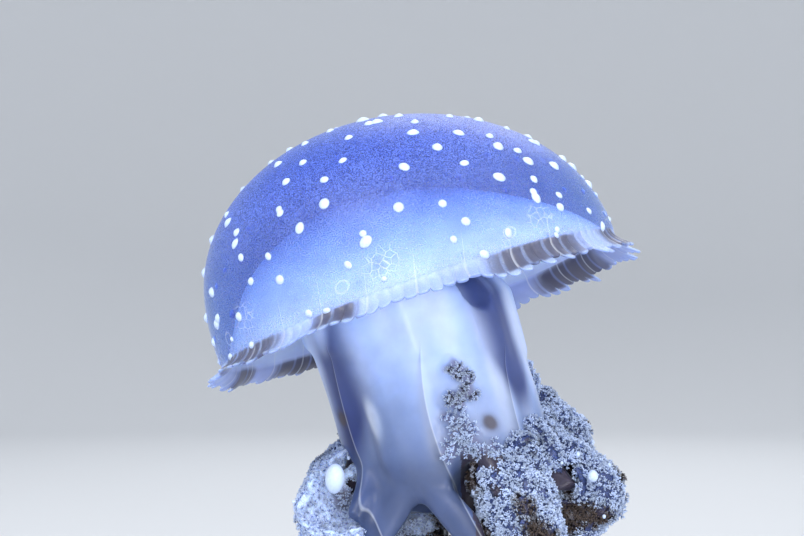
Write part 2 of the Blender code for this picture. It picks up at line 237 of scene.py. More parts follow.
def stitched(first, second, start_first, start_second):
    """Faces between two rings of equal length, or one of half the other's."""
    if first == second:
        i = np.arange(first)
        j = (i + 1) % first
        return np.stack([start_first + i, start_second + i, start_second + j, start_first + j], 1)
    few, many = sorted((first, second))
    start_few, start_many = (start_first, start_second) if first < second else (start_second, start_first)
    i = np.arange(few)
    a, b = start_few + i, start_few + (i + 1) % few
    c, d, e = (start_many + (2 * i + k) % many for k in range(3))
    triangles = np.concatenate([np.stack(t, 1) for t in ((a, c, d), (a, d, b), (b, d, e))])
    return triangles if first < second else triangles[:, ::-1]


def walls(rows, sides):
    """Faces between rings of equal length that follow each other."""
    starts = range(0, (rows - 1) * sides, sides)
    return np.concatenate([stitched(sides, sides, start, start + sides) for start in starts])


def fan(middle, ring, down=False):
    """Triangles from a middle point to the sides of a ring, facing up, or down at a lower end."""
    faces = np.stack([np.full(len(ring), middle), ring, np.roll(ring, -1)], 1)
    return faces[:, (1, 0, 2)] if down else faces


def make_bell():
    """The bell and its lappets as one closed mesh, with each point's S, azimuth and depth."""
    rows = bell_rows()
    points, known, faces, starts, total = [], [], [], [], 0
    lengths = np.random.default_rng(5).uniform(*LAPPET_LENGTHS, LAPPETS)
    for s, columns, depth in rows:
        azimuth = tau * np.arange(columns) / columns
        number, across = lappet_place(azimuth)
        lobe = np.clip(1 - np.abs(2 * across - 1) ** LOBE_SQUARE, 0, 1) ** LOBE_BLUNT
        tip = LAPPET_NOTCH + (lengths[number] + 1 - LAPPET_NOTCH) * lobe
        scaled = LAPPET_ROOT + (s - LAPPET_ROOT) / (2 - LAPPET_ROOT) * (tip - LAPPET_ROOT)
        local = np.where(s > LAPPET_ROOT, scaled, s) + 0 * azimuth
        sink = margin_sink(azimuth, local) * (1 - depth) + margin_wave(azimuth, local)
        points.append(bell_points(azimuth, local, depth, sink))
        known.append(np.stack([local, azimuth, np.full(columns, depth)], 1))
        starts.append(total)
        total += columns
    for row in range(len(rows) - 1):
        faces.append(stitched(rows[row][1], rows[row + 1][1], starts[row], starts[row + 1]))
    for row, depth in ((0, 0.0), (len(rows) - 1, 1.0)):
        faces.append(fan(total, starts[row] + np.arange(rows[row][1]), down=row > 0))
        points.append(bell_points(np.zeros(1), np.zeros(1), depth))
        known.append(np.array([[0, 0, depth]]))
        total += 1
    bell = mesh_object("jellyfish_skin", np.concatenate(points), faces)
    return bell, np.concatenate(known)


# ---- Stalk and frill cores ----

VOXEL = 1.25 * MM
STALK_FILLET = 3.2 * MM
FRILL_FILLET = 2.0 * MM
FRILL_SUNK = 4.0 * MM  # how deep the flesh of a frill lies under the tips of its coat
COLUMN_RADIUS = 53 * MM  # of the smooth stalk that the upper arms make together
COLUMN_DEPTHS = (-72 * MM, 96 * MM)
COLUMN_LONGEST = 62 * MM
COLUMN_TAPER = (62 * MM, 96 * MM, 0.80)  # depths between which it narrows, and to what share
NECK = (187 * MM, 222 * MM, 0.15)  # the same inside the bell, between two heights
BARE = (-156, -92)  # azimuths between which the front arm's smooth flesh hides the frill
BARE_LONGEST = 94 * MM
BARE_EDGE = 4  # degrees on each side over which it fades
FORK = (radians(-115), 76 * MM, 24 * MM)  # azimuth, depth and widening of the front arm's fork
FORK_EDGE = 3 * MM
LEG_SPLAY = (68 * MM, 88 * MM, 0.65)  # depths between which its legs spread, and by what share
ARM_SPREAD = radians(15)  # how far round each arm has a say in the column's length
COLUMN_END = 24 * MM  # the length over which the column narrows to the core
COLUMN_ROOT = (-12 * MM, 6 * MM, 6 * MM)  # depths above which the column is thinner, and by how much
CLEFT_DEPTHS = (14 * MM, 60 * MM)  # depths between which the clefts between arms begin
CLEFT_DEPTH = 5 * MM
CLEFT_WIDTH = 0.13  # in radians
CORE_RADIUS = 24 * MM  # of the stalk inside the frills
HIDDEN_RADIUS = CORE_RADIUS - 6 * MM  # of frill flesh that the smooth stalk hides
HEAPS = ((17, 7.0), (9, 3.5), (5, 2.0))  # size and height in mm of the frills' lobes, florets and knobs


def node_copy(name):
    """A new object with a CAD node's mesh, its split points welded."""
    made = linked(name + "_copy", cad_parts[name].data.copy())
    made.data.materials.clear()
    bm = bmesh.new()
    bm.from_mesh(made.data)
    bmesh.ops.remove_doubles(bm, verts=bm.verts, dist=0.001 * MM)
    bm.to_mesh(made.data)
    bm.free()
    return made


def settle(obj):
    """Applies the modifiers of obj to its mesh."""
    bpy.context.view_layer.update()
    graph = bpy.context.evaluated_depsgraph_get()
    mesh = bpy.data.meshes.new_from_object(obj.evaluated_get(graph))
    obj.modifiers.clear()
    obj.data = mesh
    return obj


def joined(name, objects):
    """One object from several, which are removed."""
    bm = bmesh.new()
    for obj in objects:
        bm.from_mesh(obj.data)
        bpy.data.objects.remove(obj)
    return built(name, bm)


def pushed(obj, distance):
    """Moves each point of obj along its normal, by one distance or one for each point."""
    distance = np.broadcast_to(distance, len(obj.data.vertices))
    set_points(obj, points_of(obj) + normals_of(obj) * distance[:, None])
    return obj


def remeshed(obj, voxel, rounds):
    """Rebuilds obj with even faces and smooths it."""
    modifier = obj.modifiers.new("even", "REMESH")
    modifier.mode, modifier.voxel_size = "VOXEL", voxel
    soften = obj.modifiers.new("soft", "SMOOTH")
    soften.factor, soften.iterations = 0.5, rounds
    return settle(obj)


def sway(local):
    """How far the stalk's lean carries each point, more slowly the deeper it is."""
    return np.outer(STALK_HANG * np.tanh(-local[:, 2] / STALK_HANG), (*STALK_LEAN, 0))


def unswayed(points):
    """Points of the world in stalk space, where the arms hang straight round Z."""
    local = points - np.array(STALK_TOP)
    return local - sway(local)


def swayed(local):
    """The reverse: points of stalk space in the world."""
    return local + sway(local) + np.array(STALK_TOP)


def turn_of(local):
    """The azimuth of each point of stalk space."""
    return np.arctan2(local[:, 1], local[:, 0])


def nearest_arm(azimuth):
    """The index of the arm nearest to each azimuth."""
    return np.abs(around(azimuth[:, None], np.radians(ARM_AZIMUTHS), tau)).argmin(1)


def below_frill_top(local):
    """How far each point of stalk space lies below the top of its arm's frill."""
    return -local[:, 2] - np.array(FRILL_TOPS)[nearest_arm(turn_of(local))] * MM


def from_clefts(azimuth):
    """The angle from each azimuth to the nearest cleft between two arms."""
    apart = around(azimuth[:, None], np.radians(CLEFTS), tau)
    return apart[np.arange(len(apart)), np.abs(apart).argmin(1)]


def bareness(azimuth):
    """1 where the front arm's smooth flesh hides the frill, 0 elsewhere."""
    low, high = BARE
    edges = (low - BARE_EDGE, low + BARE_EDGE, high - BARE_EDGE, high + BARE_EDGE)
    return band(np.degrees(around(azimuth, 0, tau)), edges)


def splayed(arm):
    """Spreads the legs of the front arm's copy away from each other."""
    local = unswayed(points_of(arm))
    side = np.array((-sin(FORK[0]), cos(FORK[0])))
    aside = local[:, :2] @ side * LEG_SPLAY[2] * ramp(*LEG_SPLAY[:2], -local[:, 2])
    local[:, :2] += np.outer(aside, side)
    set_points(arm, swayed(local))
    return arm


def make_column():
    """The smooth round body of the upper arms, which narrows into each frill's top."""
    azimuth = tau * np.arange(180) / 180
    apart = around(azimuth[:, None], np.radians(ARM_AZIMUTHS), tau)
    weights = np.exp(-(apart / ARM_SPREAD) ** 2)
    ends = np.minimum(weights @ np.array(FRILL_TOPS) / weights.sum(1) * MM, COLUMN_LONGEST)
    ends = ends + (BARE_LONGEST - ends) * bareness(azimuth)
    depths = np.arange(*COLUMN_DEPTHS, 2 * MM)[:, None]
    narrow = ramp(0, COLUMN_END, depths - ends)
    off = np.abs(around(azimuth, FORK[0], tau)) * COLUMN_RADIUS
    fork = ramp(-FORK_EDGE, FORK_EDGE, (depths - FORK[1]) - off ** 2 / FORK[2])
    narrow = np.maximum(narrow, fork)
    radius = COLUMN_RADIUS * (1 - (1 - COLUMN_TAPER[2]) * ramp(*COLUMN_TAPER[:2], depths))
    radius = radius + (CORE_RADIUS - radius) * narrow
    radius = radius - COLUMN_ROOT[2] * (1 - ramp(*COLUMN_ROOT[:2], depths))
    cleft = np.exp(-(from_clefts(azimuth) / CLEFT_WIDTH) ** 2)
    radius -= CLEFT_DEPTH * ramp(*CLEFT_DEPTHS, depths) * cleft
    rings = np.stack([radius * np.cos(azimuth), radius * np.sin(azimuth), -depths + 0 * radius], -1)
    top, bottom = (0, 0, -depths[0, 0]), (0, 0, -depths[-1, 0])
    points = np.concatenate([rings.reshape(-1, 3), [top, bottom]])
    rows, sides = radius.shape
    first, last = np.arange(sides), (rows - 1) * sides + np.arange(sides)
    ends = [fan(rows * sides, first), fan(rows * sides + 1, last, down=True)]
    return mesh_object("column", swayed(points), [walls(rows, sides), *ends])


def drawn_in(frill):
    """Draws a frill's flesh into the stalk where it is hidden: above its top and behind the bare arm."""
    local = unswayed(points_of(frill))
    bare = (bareness(turn_of(local)) > 0.5) & (-local[:, 2] < BARE_LONGEST)
    limit = np.where(bare | (below_frill_top(local) < -2 * MM), HIDDEN_RADIUS, np.inf)
    scale = np.minimum(1, limit / np.maximum(np.hypot(local[:, 0], local[:, 1]), 1e-6))
    local[:, :2] *= scale[:, None]
    set_points(frill, swayed(local))
    return frill


def make_stalk():
    """The arm disc, the oral arms and the flesh between, as one column that runs up into the bell."""
    nodes = ["arm_disc"] + [f"oral_arm_{k + 1}" for k in ARMS[1:]]
    shapes = [node_copy(node) for node in nodes] + [splayed(node_copy("oral_arm_1")), make_column()]
    shapes = [pushed(shape, STALK_FILLET) for shape in shapes]
    column = pushed(remeshed(joined("stalk", shapes), VOXEL, 10), -STALK_FILLET)
    stalk = necked(remeshed(column, VOXEL, 12))
    return pushed(stalk, FRINGE_RISE * np.clip(fringed(unswayed(points_of(stalk))), 0, 1))


def necked(stalk):
    """Narrows the stalk under the bell's vault, out of sight, and brings it to the bell's axis."""
    points, local = points_of(stalk), unswayed(points_of(stalk))
    axis = np.array(bell_frame())[:3, 2]
    rise = points[:, 2] - BELL_CENTRE.z
    middle = np.array(BELL_CENTRE) + np.outer(rise / axis[2], axis)
    thin = middle[:, :2] + local[:, :2] * NECK[2]
    share = ramp(*NECK[:2], points[:, 2])[:, None]
    points[:, :2] += (thin - points[:, :2]) * share
    set_points(stalk, points)
    return stalk


def subdivided(obj):
    """Splits each face of obj in four, twice over, and leaves its shape as it is."""
    modifier = obj.modifiers.new("finer", "SUBSURF")
    modifier.subdivision_type, modifier.levels, modifier.render_levels = "SIMPLE", 2, 2
    return settle(obj)


def heaps(points, size, seed):
    """1 at the middle of each heap of about that size, and 0 in the clefts between."""
    order = np.random.default_rng(seed).permutation(len(points))
    _, first = np.unique((points[order] // size).astype(int), axis=0, return_index=True)
    centres = points[order[np.sort(first)]]
    reach = nearest_of(centres, points)[1]
    return np.sqrt(np.clip(1 - (reach / (0.8 * size)) ** 2, 0, 1))


def nearest_of(known, points):
    """For each point, the index of the nearest of the known ones, and its distance."""
    tree = kdtree.KDTree(len(known))
    for i, place in enumerate(known):
        tree.insert(place, i)
    tree.balance()
    found = [tree.find(point)[1:] for point in points]
    return np.array([index for index, _ in found]), np.array([distance for _, distance in found])


def make_frills():
    """The flesh of the eight frills, fused, sunk under the coat and heaped, with each point's rise, from 0
    in a cleft to 1 on top of a heap."""
    nodes = [f"arm_frill_{k + 1}" for k in ARMS]
    shapes = [pushed(drawn_in(subdivided(node_copy(node))), FRILL_FILLET) for node in nodes]
    frills = pushed(remeshed(joined("frills", shapes), VOXEL, 6), -FRILL_FILLET)
    frills = remeshed(frills, VOXEL, 2)
    coarseness = np.array(COARSENESS)[nearest_arm(turn_of(unswayed(points_of(frills))))]
    pushed(frills, -FRILL_SUNK * coarseness ** 2)
    rises = []
    for seed, (size, height) in enumerate(HEAPS, 3):
        rises.append(heaps(points_of(frills), size * MM, seed))
        pushed(frills, (rises[-1] - 1) * height * MM)
        before = points_of(frills)
        frills = remeshed(frills, VOXEL, 1)
        index = nearest_of(before, points_of(frills))[0]
        rises = [rise[index] for rise in rises]
    return frills, np.mean(rises, 0) ** 2


def fused(first, second):
    """The union of two closed meshes."""
    modifier = first.modifiers.new("union", "BOOLEAN")
    modifier.operation, modifier.solver, modifier.object = "UNION", "MANIFOLD", second
    settle(first)
    bpy.data.objects.remove(second)
    return first


def main_body(obj):
    """Drops the crumbs that a union leaves beside the largest body."""
    bm = bmesh.new()
    bm.from_mesh(obj.data)
    left, bodies = set(bm.verts), []
    while left:
        ready, body = [left.pop()], []
        while ready:
            vertex = ready.pop()
            body.append(vertex)
            near = {highlight_edge.other_vert(vertex) for highlight_edge in vertex.link_edges} & left
            left -= near
            ready += near
        bodies.append(body)
    for crumb in sorted(bodies, key=len)[:-1]:
        bmesh.ops.delete(bm, geom=crumb, context="VERTS")
    bm.to_mesh(obj.data)
    bm.free()
    return obj


BELL, STALK, FRILL = range(3)


def make_skin():
    """The whole body as one closed mesh, with what is known of each point: its part, and then on the bell
    its S, azimuth and depth, and on a frill its rise."""
    bell, known = make_bell()
    stalk = make_stalk()
    frills, rise = make_frills()
    sources = [points_of(obj) for obj in (bell, stalk, frills)]
    facts = [np.column_stack([np.full(len(known), BELL), known])]
    facts.append(np.tile((STALK, 0.0, 0.0, 0.0), (len(sources[1]), 1)))
    facts.append(np.column_stack([np.full(len(rise), FRILL), rise, np.zeros((len(rise), 2))]))
    every, facts = np.concatenate(sources), np.concatenate(facts)
    skin = main_body(fused(fused(bell, stalk), frills))
    nearest, _ = nearest_of(every, points_of(skin))
    skin.data.shade_smooth()
    skin.data.materials.clear()
    return skin, facts[nearest]


# ---- Coat: the frills' digits, and what sits on the bell and the frills ----

TUFT_SPACING = 2.75 * MM
CROWDING = 5  # places drawn for each one kept
TUFT_LEVELS = ((5, 2.0, 0.46, 0.85), (3, 1.7, 0.44, 0.6))  # branches, length and radius in mm, spread
SHADED = 3 * MM  # a root with other flesh this near in front of it grows no tuft
SIDES = 3
BUD_WIDEST = 0.62  # how far along a bud its widest ring is
NEXT_BUDS = 0.88  # and how far along it the next ones start
TURN_SCATTER = 0.35  # of the angle between a bud's neighbours
LEAN_SCATTER = 0.12
GROWTH = (0.75, 1.2)  # the range of a tuft's size, and of a bud's
HIGH_GROWTH = (0.65, 0.45)  # a tuft's size in a cleft, and what the top of a heap adds
ROOT_DEPTH = 0.3 * MM
FRINGE_HEIGHT = 0.75  # the rise that the tufts on the stalk are taken to have


def triangles_of(obj):
    """The corners of obj's faces as triangles."""
    obj.data.calc_loop_triangles()
    corners = np.empty(len(obj.data.loop_triangles) * 3, np.int32)
    obj.data.loop_triangles.foreach_get("vertices", corners)
    return corners.reshape(-1, 3)


def unit(vectors):
    return vectors / np.maximum(np.linalg.norm(vectors, axis=-1, keepdims=True), 1e-12)


def across_of(directions):
    """Two directions at right angles to each of these."""
    helper = np.where(np.abs(directions[:, 2:]) < 0.9, (0.0, 0.0, 1.0), (1.0, 0.0, 0.0))
    first = unit(np.cross(directions, helper))
    return first, np.cross(directions, first)


def scattered(points, corners, normals, spacing, draw):
    """Places spread evenly over triangles, one in each cell of a grid, with the normals there."""
    a, b, c = (points[corners[:, k]] for k in range(3))
    area = np.linalg.norm(np.cross(b - a, c - a), axis=1) / 2
    count = int(area.sum() / spacing ** 2 * CROWDING)
    face = draw.choice(len(corners), count, p=area / area.sum())
    u, v = draw.random((2, count, 1))
    flip = u + v > 1
    u, v = np.where(flip, 1 - u, u), np.where(flip, 1 - v, v)
    weights = (1 - u - v, u, v)
    place = sum(w * points[corners[face, k]] for k, w in enumerate(weights))
    facing = unit(sum(w * normals[corners[face, k]] for k, w in enumerate(weights)))
    _, kept = np.unique(np.floor(place / spacing).astype(int), axis=0, return_index=True)
    return place[kept], facing[kept]


def buds(starts, directions, lengths, radii):
    """Pointed buds with their widest ring past the middle: their points, five to each, and faces."""
    first, second = across_of(directions)
    turns = tau * np.arange(SIDES) / SIDES
    widest = starts + directions * lengths[:, None] * BUD_WIDEST
    ring = [widest + radii[:, None] * (first * cos(t) + second * sin(t)) for t in turns]
    points = np.stack([starts, *ring, starts + directions * lengths[:, None]], 1)
    faces = [(0, 1 + (k + 1) % SIDES, 1 + k) for k in range(SIDES)]
    faces += [(1 + k, 1 + (k + 1) % SIDES, SIDES + 1) for k in range(SIDES)]
    offsets = np.arange(len(starts))[:, None, None] * (SIDES + 2)
    return points.reshape(-1, 3), (np.array(faces)[None] + offsets).reshape(-1, 3)


def tufts(roots, normals, sizes, draw):
    """Branching tufts: all their points and faces, and for each point its tuft and height from 0 to 1."""
    made, total, level_low = [], 0, 0.0
    starts, directions, owner = roots, normals, np.arange(len(roots))
    whole = sum(level[1] for level in TUFT_LEVELS)
    for branches, length, radius, spread in TUFT_LEVELS:
        starts, directions = np.repeat(starts, branches, 0), np.repeat(directions, branches, 0)
        owner = np.repeat(owner, branches)
        first, second = across_of(directions)
        share = np.tile(np.arange(branches), len(owner) // branches) / branches
        share = share + draw.random(len(owner)) * TURN_SCATTER
        turn = tau * share + np.repeat(draw.random(len(owner) // branches), branches) * tau
        lean = spread + draw.normal(0, LEAN_SCATTER, len(owner))
        directions = unit(directions + lean[:, None] * (first * np.cos(turn)[:, None]
                                                        + second * np.sin(turn)[:, None]))
        scale = sizes[owner] * draw.uniform(*GROWTH, len(owner))
        lengths = length * MM * scale
        points, faces = buds(starts, directions, lengths, radius * MM * np.sqrt(scale))
        low, high = level_low / whole, (level_low + length) / whole
        rise = np.array([low] + [low + BUD_WIDEST * (high - low)] * SIDES + [high])
        made.append((points, faces + total, np.repeat(owner, SIDES + 2), np.tile(rise, len(owner))))
        total += len(points)
        level_low += length
        starts = starts + directions * (lengths * NEXT_BUDS)[:, None]
    return [np.concatenate(parts) for parts in zip(*made)]


def make_coat(skin, facts, finish):
    """The digits on the frills and in blobs on the stalk, one piece for each oral arm."""
    draw = np.random.default_rng(21)
    points, normals, corners = points_of(skin), normals_of(skin), triangles_of(skin)
    frill, stalk = facts[:, 0] == FRILL, facts[:, 0] == STALK
    grown = frill | (stalk & (fringed(unswayed(points)) > 0.5))
    corners = corners[grown[corners].all(1)]
    places, facing = scattered(points, corners, normals, TUFT_SPACING, draw)
    body = BVHTree.FromPolygons(points.tolist(), triangles_of(skin).tolist())
    clear = [body.ray_cast(place + out * MM, out, SHADED)[0] is None for place, out in zip(places, facing)]
    places, facing = places[clear], facing[clear]
    root = nearest_of(points[grown], places)[0]
    rise = np.where(frill, facts[:, 1], FRINGE_HEIGHT)[grown][root]
    on_stalk = stalk[grown][root]
    local = unswayed(places)
    brown = np.where(on_stalk, 0.5 * (1 - ramp(*FRINGE_WHITE, -local[:, 2])), brownness(places))
    owner = nearest_arm(turn_of(local))
    for k in ARMS:
        mine = owner == k
        roots, normals, high = places[mine], facing[mine], rise[mine]
        sizes = draw.uniform(*GROWTH, len(roots)) * (HIGH_GROWTH[0] + HIGH_GROWTH[1] * high)
        sizes *= COARSENESS[k]
        made, faces, tuft, height = tufts(roots - normals * ROOT_DEPTH, normals, sizes, draw)
        coat = mesh_object(f"frill_coat_{k + 1}", made, [faces])
        store(coat, "height", height)
        store(coat, "rise", high[tuft])
        store(coat, "brown", (brown[mine] * COARSENESS[k] ** 3)[tuft])
        unwrap_tufts(coat, roots, tuft, made)
        coat.data.materials.append(finish)
        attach(coat, "root")


TUFT_REACH = 4 * MM
PATCH_SIZE = 0.0015  # half the width of a tuft's patch in the UV map


def unwrap_tufts(coat, roots, tuft, points):
    """A UV map in which each tuft is a small patch at its root's place on the unrolled frill."""
    out = unit(roots - roots.mean(0))
    across = np.arctan2(out[:, 1], out[:, 0]) / tau + 0.5
    up = np.arccos(np.clip(out[:, 2], -1, 1)) / pi
    patch = (points - roots[tuft]) / TUFT_REACH
    place = np.stack([across, up], 1)[tuft] * 0.99 + 0.005
    place += PATCH_SIZE * np.clip(patch[:, :2], -1, 1)
    layer = coat.data.uv_layers.new(name="OFBake")
    corner = np.empty(len(coat.data.loops), np.int32)
    coat.data.loops.foreach_get("vertex_index", corner)
    layer.data.foreach_set("uv", place[corner].astype(np.float32).ravel())


WAVES = 24


def waves(points, size, seed):
    """A smooth random field from about -1 to 1 whose lumps are about that size."""
    draw = np.random.default_rng(seed)
    directions = unit(draw.normal(size=(WAVES, 3))) / size * tau * draw.uniform(0.35, 0.8, (WAVES, 1))
    return np.sin(points @ directions.T + draw.uniform(0, tau, WAVES)).sum(1) / sqrt(WAVES)


def brownness(points):
    """How brown the frills are, in lumps, from 0 to 1."""
    return ramp(-0.3, 1.0, waves(points, 18 * MM, 3412))


FRINGE_RISE = 2.0 * MM
FRINGE_WHITE = (36 * MM, 46 * MM)  # depths between which its tufts turn from brown to white
FRINGE_BLOBS = ((-73, 24, 8), (-71, 32, 6), (-78, 37, 6), (-86, 44, 5), (-81, 50, 8), (-76, 58, 8),
                (-88, 60, 7), (-64, 62, 8))  # azimuth in degrees, depth and radius in mm, each half turn


def fringed(local):
    """How thickly tufts grow at each point of the stalk, in blobs down its front and back."""
    turn, radius = turn_of(local), np.hypot(local[:, 0], local[:, 1])
    cover = np.zeros(len(local))
    for middle, depth, size in FRINGE_BLOBS:
        across = around(turn, radians(middle), pi) * radius
        off = np.hypot(across, -local[:, 2] - depth * MM) / (size * MM)
        cover = np.maximum(cover, 1.2 - off)
    return np.where(cover > 0, cover + 0.22 * waves(local, 5 * MM, 12), 0)


SPOTS = 180
TWIN_EVERY = 15  # one knob in this many grows into its neighbour
KNOB_RISE = 0.62
KNOB_RINGS = (0.3, 0.6, 0.85, 1.0)
KNOB_SIDES = 14
SPOT_RADII = (1.7, 2.9)  # in mm
SPOT_REACH = radians(97)  # how far down the bell they go, as an angle at its centre
SPOT_LAST = 1.05  # and as S


def make_spots(finish):
    """The white knobs of the bell, spread evenly over it with some scatter."""
    draw = np.random.default_rng(14)
    index = np.arange(SPOTS)
    share = (index + 0.5 + draw.uniform(-0.5, 0.5, SPOTS)) / SPOTS
    s = np.arccos(1 - share * (1 - cos(SPOT_REACH))) / SPOT_REACH * SPOT_LAST
    azimuth = index * pi * (3 - sqrt(5)) + draw.normal(0, 0.08, SPOTS) / np.maximum(s, 0.3)
    radii = draw.uniform(*SPOT_RADII, SPOTS) * MM * (1 - 0.25 * ramp(0.8, 1.0, s))
    centre = bell_points(azimuth, s, 0.0)
    normal = unit(centre - bell_points(azimuth, s, 0.2))
    first, second = across_of(normal)
    turn = draw.uniform(0, pi, (SPOTS, 1))
    first, second = (first * np.cos(turn) + second * np.sin(turn),
                     second * np.cos(turn) - first * np.sin(turn))
    long = draw.uniform(1.0, 1.35, SPOTS)
    twin = index[::TWIN_EVERY][:-1]
    centre[twin + 1] = centre[twin] + first[twin] * (1.5 * radii[twin, None])
    for direction in (normal, first, second):
        direction[twin + 1] = direction[twin]
    round_it = tau * np.arange(KNOB_SIDES) / KNOB_SIDES
    points = [(centre + normal * KNOB_RISE * radii[:, None])[:, None]]
    for share in KNOB_RINGS:
        rise = KNOB_RISE * (1 - share ** 2.4) - 0.05
        middle = (centre + normal * (rise * radii)[:, None])[:, None]
        along = (first * (radii * long * share)[:, None])[:, None] * np.cos(round_it)[None, :, None]
        across = (second * (radii * share)[:, None])[:, None] * np.sin(round_it)[None, :, None]
        points.append(middle + along + across)
    points.append((centre - normal * 0.2 * radii[:, None])[:, None])
    points = np.concatenate(points, 1)
    step = points.shape[1]
    sides = walls(len(KNOB_RINGS), KNOB_SIDES) + 1
    ring = 1 + np.arange(KNOB_SIDES)
    last = ring + (len(KNOB_RINGS) - 1) * KNOB_SIDES
    knob = np.concatenate([fan(0, ring), sides[:, :3], sides[:, (0, 2, 3)], fan(step - 1, last, down=True)])
    faces = (knob[None] + np.arange(SPOTS)[:, None, None] * step).reshape(-1, 3)
    spots = mesh_object("bell_spots", points.reshape(-1, 3), [faces])
    spots.data.materials.append(finish)
    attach(spots, "root")


BEADS = 70
BEAD_RISE = 2.2 * MM  # from the flesh to a bead's middle
BEAD_RADII = (0.8, 1.7)  # in mm


def make_beads(skin, facts, finish):
    """Small white beads here and there on the frills."""
    draw = np.random.default_rng(31)
    high = np.flatnonzero((facts[:, 0] == FRILL) & (facts[:, 1] > 0.6))
    chosen = draw.choice(high, BEADS, replace=False)
    places = points_of(skin)[chosen] + normals_of(skin)[chosen] * BEAD_RISE
    bm = bmesh.new()
    for place, radius in zip(places, draw.uniform(*BEAD_RADII, BEADS) * MM):
        turn = Matrix.Translation(place) @ Matrix.Diagonal((1, 1, draw.uniform(0.9, 1.3), 1))
        bmesh.ops.create_icosphere(bm, subdivisions=2, radius=radius, matrix=turn)
    beads = built("frill_beads", bm)
    beads.data.shade_smooth()
    beads.data.materials.append(finish)
    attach(beads, "root")


def make_clubs(finish):
    """The clubs at the arms' ends, as soft lumps in the boxes of their CAD nodes."""
    for k in ARMS:
        low, high = (np.array(corner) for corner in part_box(f"arm_club_{k + 1}"))
        bm = bmesh.new()
        bmesh.ops.create_icosphere(bm, subdivisions=4, radius=1.0)
        club = built(f"club_{k + 1}", bm)
        points = points_of(club)
        swell = 1 + 0.05 * waves(points + k, 1.6, 4)
        set_points(club, (low + high) / 2 + points * swell[:, None] * (high - low) / 2)
        club.data.shade_smooth()
        club.data.materials.append(finish)
        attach(club, "root")
        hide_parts(f"arm_club_{k + 1}")


# ---- Markings ----

BROWN_PATCHES = ((-56, 19), (-112, 8))  # azimuth and half width in degrees, repeated each quarter turn
BROWN_BAND = (0.86, 1.16, 1.72, 1.95)
RING_MARKS = (-64, 0.95)  # azimuth in degrees and S of a ring mark, repeated each eighth of a turn
NETS = (-98, 0.92)  # and of a patch of fine canals
WALL_LENGTH = 150 * MM  # along the bell's wall from the apex to the margin, about
RAY_EVERY = 4  # lappets from one pale ray to the next
RAY_BAND = (0.86, 1.1, 1.8, 1.95)
NET_EDGE = (4 * MM, 13 * MM)
HIGHLIGHT_LEAN = 0.20  # how far, in radians, a painted highlight line along an arm's edge wanders from its cleft
HIGHLIGHT_WAVE = 30 * MM
STAINS = (-63, 47 * MM, 8 * MM)  # azimuth, depth and radius of a brown stain, each quarter turn
MILKY = (-127, 46 * MM, 5 * MM, 10 * MM)  # and of a milky patch, with its half height, each half turn
STREAK_SIZE = 11 * MM
STREAK_STRETCH = (1, 1, 0.22)
SMOKY_DEPTHS = (5 * MM, 85 * MM)  # between which the stalk turns smoky
SIDE_SHADE_BAND = (-22 * MM, -6 * MM, 34 * MM, 56 * MM)  # depths between which painted shade darkens the stalk's sides to a dark blue, under the bell
SIDE_SHADE_SLANT = 15 * MM
SIDE_SHADE_SIDES = (0.42, 0.78, 0.88, 1.0)  # and how far round to its sides, as seen from the front, the painted shade lies, as a cosine
SIDE_SHADE_WANDER = 9 * MM
SIDE_SHADE_WAVE = 20 * MM
LOW_BELL = (0.4, 0.9)  # S between which the bell's cap gives way to its lower wall
MARGIN = (0.95, 1.15)  # S between which the wall gives way to the margin
VAULT_PALE = (0.05, 0.62)  # S between which the vault turns pale
VAULT_SOLID = (0.1, 0.6)  # and less clear
GRAIN_FADE = (0.52, 0.8)  # S between which the grain of the bell fades


def brown_patches(azimuth, s):
    """How brown the bell's margin is at each point."""
    turn = np.degrees(azimuth)
    patches = sum(np.exp(-(around(turn, middle, 90) / half) ** 4) for middle, half in BROWN_PATCHES)
    return np.clip(patches, 0, 1) * band(s, BROWN_BAND)


def eighths(azimuth, s, mark):
    """The distance in metres from each point of the bell to the nearest of eight marks round it."""
    across = around(azimuth, radians(mark[0]), tau / 8)
    return np.hypot(across * BELL_RADIUS * 0.9, (s - mark[1]) * WALL_LENGTH)


